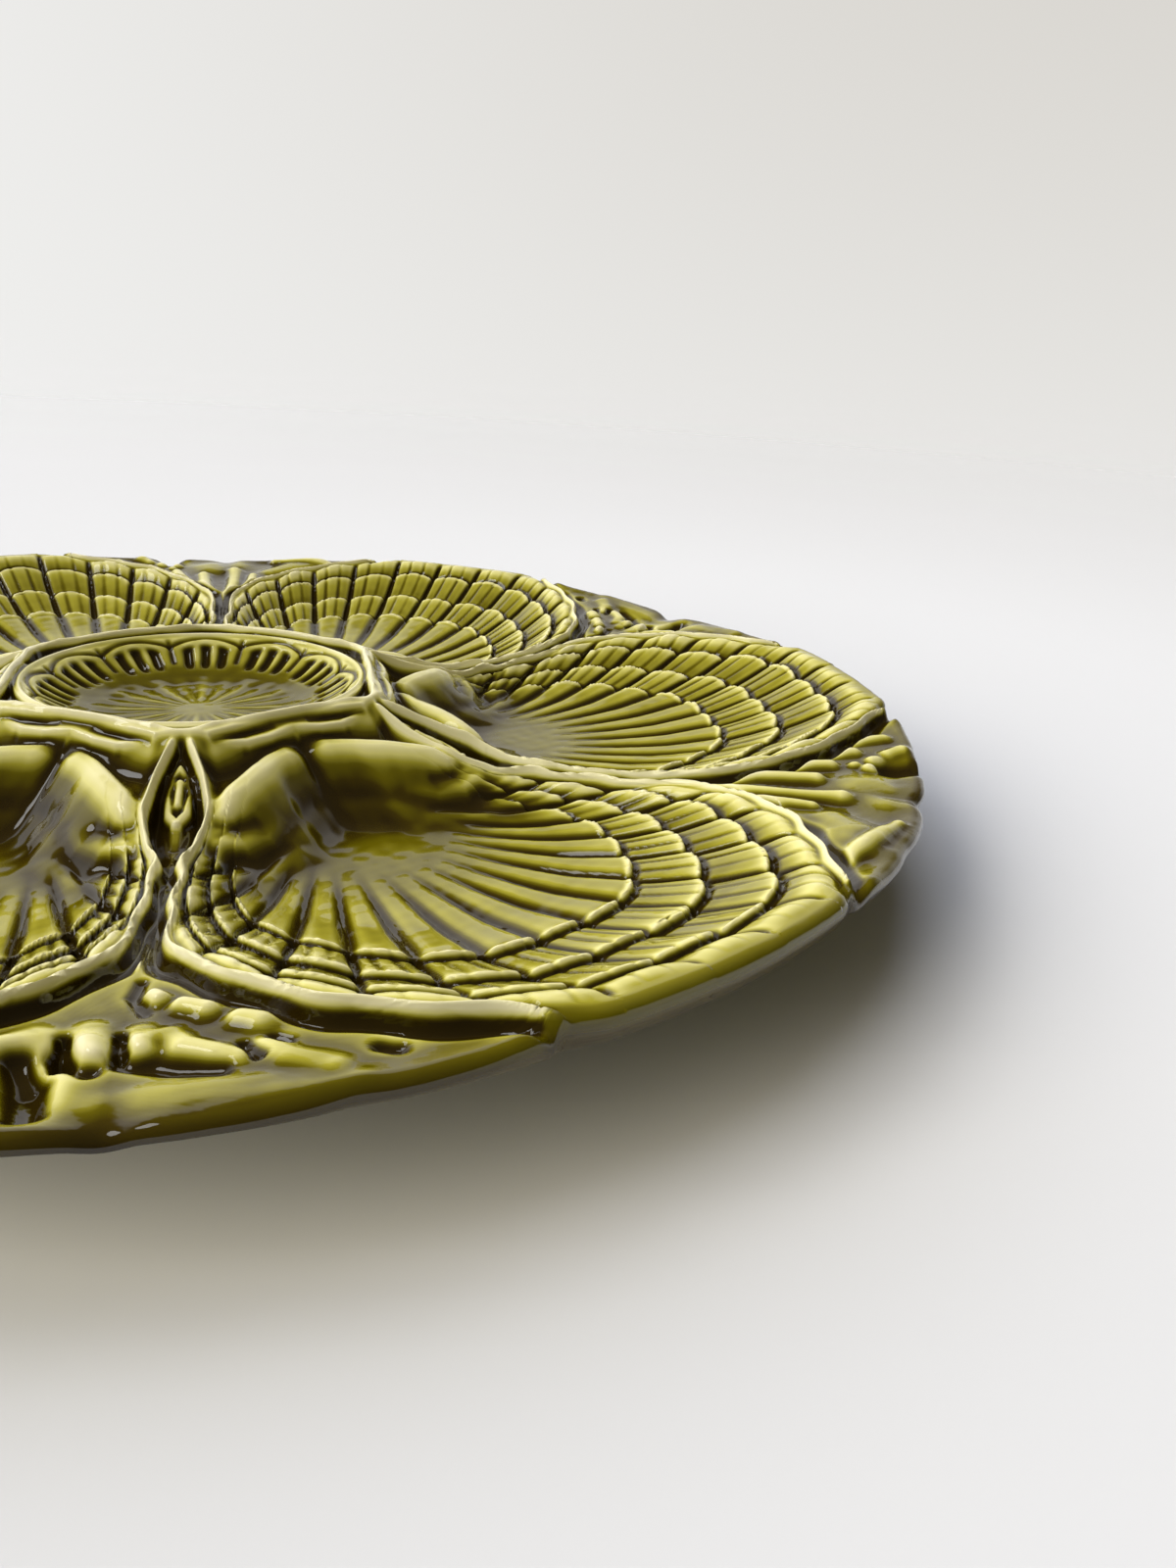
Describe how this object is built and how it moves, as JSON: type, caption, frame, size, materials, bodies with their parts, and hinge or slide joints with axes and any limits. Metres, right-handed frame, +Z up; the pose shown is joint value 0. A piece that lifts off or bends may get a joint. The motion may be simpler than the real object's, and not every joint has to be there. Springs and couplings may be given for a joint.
{
  "type": "oyster plate",
  "caption": "round glazed oyster plate with scallop shell wells around a fluted centre dish, seaweed relief at the rim and a turned foot ring",
  "frame": {"origin": "centre of the bounding box at the level of the table, on the plate's axis", "axes": "+Z up, out of the open side; +X along the middle of shell_well_1; the wells follow anticlockwise every 60 degrees"},
  "size_m": [0.24, 0.2386, 0.0236],
  "materials": {
    "olive_glaze": "high gloss",
    "bare_clay": "matt"
  },
  "bodies": {
    "root": {"centre_dish": "olive_glaze", "dish_border": "olive_glaze", "shell_well_1": "olive_glaze", "shell_well_2": "olive_glaze", "shell_well_3": "olive_glaze", "shell_well_4": "olive_glaze", "shell_well_5": "olive_glaze", "shell_well_6": "olive_glaze", "weed_panel_1": "olive_glaze", "weed_panel_2": "olive_glaze", "weed_panel_3": "olive_glaze", "weed_panel_4": "olive_glaze", "weed_panel_5": "olive_glaze", "weed_panel_6": "olive_glaze", "foot_ring": "bare_clay"}
  },
  "joints": []
}
